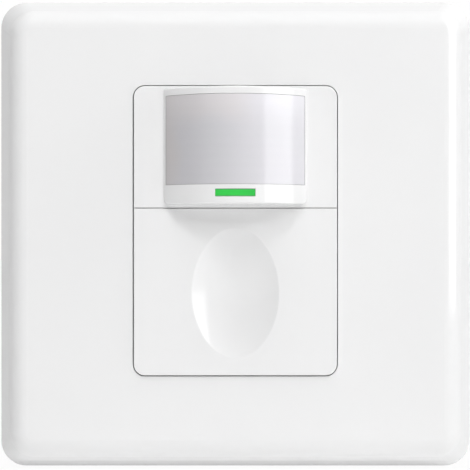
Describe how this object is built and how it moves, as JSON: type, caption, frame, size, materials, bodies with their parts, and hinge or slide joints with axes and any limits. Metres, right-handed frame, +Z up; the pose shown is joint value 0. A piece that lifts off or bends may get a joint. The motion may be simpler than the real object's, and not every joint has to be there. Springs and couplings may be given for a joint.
{
  "type": "motion sensor light switch",
  "caption": "Square wall switch with a bowed infrared motion lens, a green status light, a large scooped push button and a back box with screw terminals.",
  "frame": {"origin": "the middle of the wall plate, on the wall's surface, half way between the two fixing slots", "axes": "+X to the right seen from the front, +Y into the wall, +Z up; the front faces -Y"},
  "size_m": [0.088, 0.0425, 0.087],
  "materials": {
    "white_plastic": "glossy moulded white plastic",
    "frame_plastic": "satin moulded white plastic",
    "housing_plastic": "satin moulded white plastic",
    "lens_plastic": "translucent milky lens plastic",
    "light_pipe_green": "clear plastic lit green",
    "circuit_board": "green solder mask",
    "can_steel": "plated steel can",
    "filter_dark": "dark infrared filter",
    "lead_metal": "tinned metal",
    "sensor_clear": "clear resin",
    "component_black": "black moulded package",
    "header_black": "black header bar with plated pins",
    "plunger_plastic": "black switch plunger",
    "trimmer_blue": "blue trimmer body",
    "dial_white": "white trimmer dial",
    "capacitor_yellow": "yellow capacitor box",
    "capacitor_sleeve": "shrunk dark sleeve",
    "varistor_blue": "dipped blue coating",
    "fuse_ceramic": "pale tube with metal end caps",
    "terminal_plastic": "green terminal plastic",
    "terminal_brass": "machined brass",
    "screw_steel": "plated steel"
  },
  "bodies": {
    "switch": {"cover_frame": "white_plastic", "sensor_fascia": "white_plastic", "base_frame": "frame_plastic", "inner_cover": "frame_plastic", "lens_retainer": "frame_plastic", "rear_housing": "housing_plastic", "fresnel_lens": "lens_plastic", "light_pipe": "light_pipe_green", "control_board": "circuit_board", "power_board": "circuit_board", "pir_sensor": "can_steel", "pir_window": "filter_dark", "pir_leads": "lead_metal", "tact_dome": "lead_metal", "light_sensor": "sensor_clear", "status_led": "sensor_clear", "microcontroller": "component_black", "tact_switch_body": "component_black", "bridge_rectifier": "component_black", "relay": "component_black", "choke": "component_black", "board_header": "header_black", "time_trimmer": "trimmer_blue", "light_trimmer": "trimmer_blue", "range_trimmer": "trimmer_blue", "film_capacitor": "capacitor_yellow", "electrolytic_capacitor": "capacitor_sleeve", "varistor": "varistor_blue", "fuse": "fuse_ceramic", "terminal_block": "terminal_plastic", "line_clamp": "terminal_brass", "neutral_clamp": "terminal_brass", "load_clamp": "terminal_brass", "case_screws": "screw_steel", "terminal_screws": "screw_steel"},
    "button": {"push_button": "white_plastic"},
    "tact_plunger": {"tact_switch_plunger": "plunger_plastic"},
    "time_knob": {"time_dial": "dial_white"},
    "light_knob": {"light_dial": "dial_white"},
    "range_knob": {"range_dial": "dial_white"}
  },
  "joints": [
    {"name": "button_hinge", "type": "hinge", "parent": "switch", "child": "button", "pos_m": [0, -0.0058, 0.0014], "axis": [1, 0, 0], "range_deg": [0, 1.5], "stiffness_Nm_per_rad": 0.9, "springref_deg": -0.57},
    {"name": "tact_press", "type": "slide", "parent": "switch", "child": "tact_plunger", "axis": [0, 1, 0], "range_m": [0, 0.0004]},
    {"name": "time_knob_turn", "type": "hinge", "parent": "switch", "child": "time_knob", "pos_m": [-0.01, -0.004, -0.0204], "axis": [0, -1, 0], "range_deg": [-135, 135]},
    {"name": "light_knob_turn", "type": "hinge", "parent": "switch", "child": "light_knob", "pos_m": [0, -0.004, -0.0204], "axis": [0, -1, 0], "range_deg": [-135, 135]},
    {"name": "range_knob_turn", "type": "hinge", "parent": "switch", "child": "range_knob", "pos_m": [0.01, -0.004, -0.0204], "axis": [0, -1, 0], "range_deg": [-135, 135]}
  ],
  "couplings": [
    {"joint": "tact_press", "follows": "button_hinge", "m_per_rad": 0.015}
  ]
}
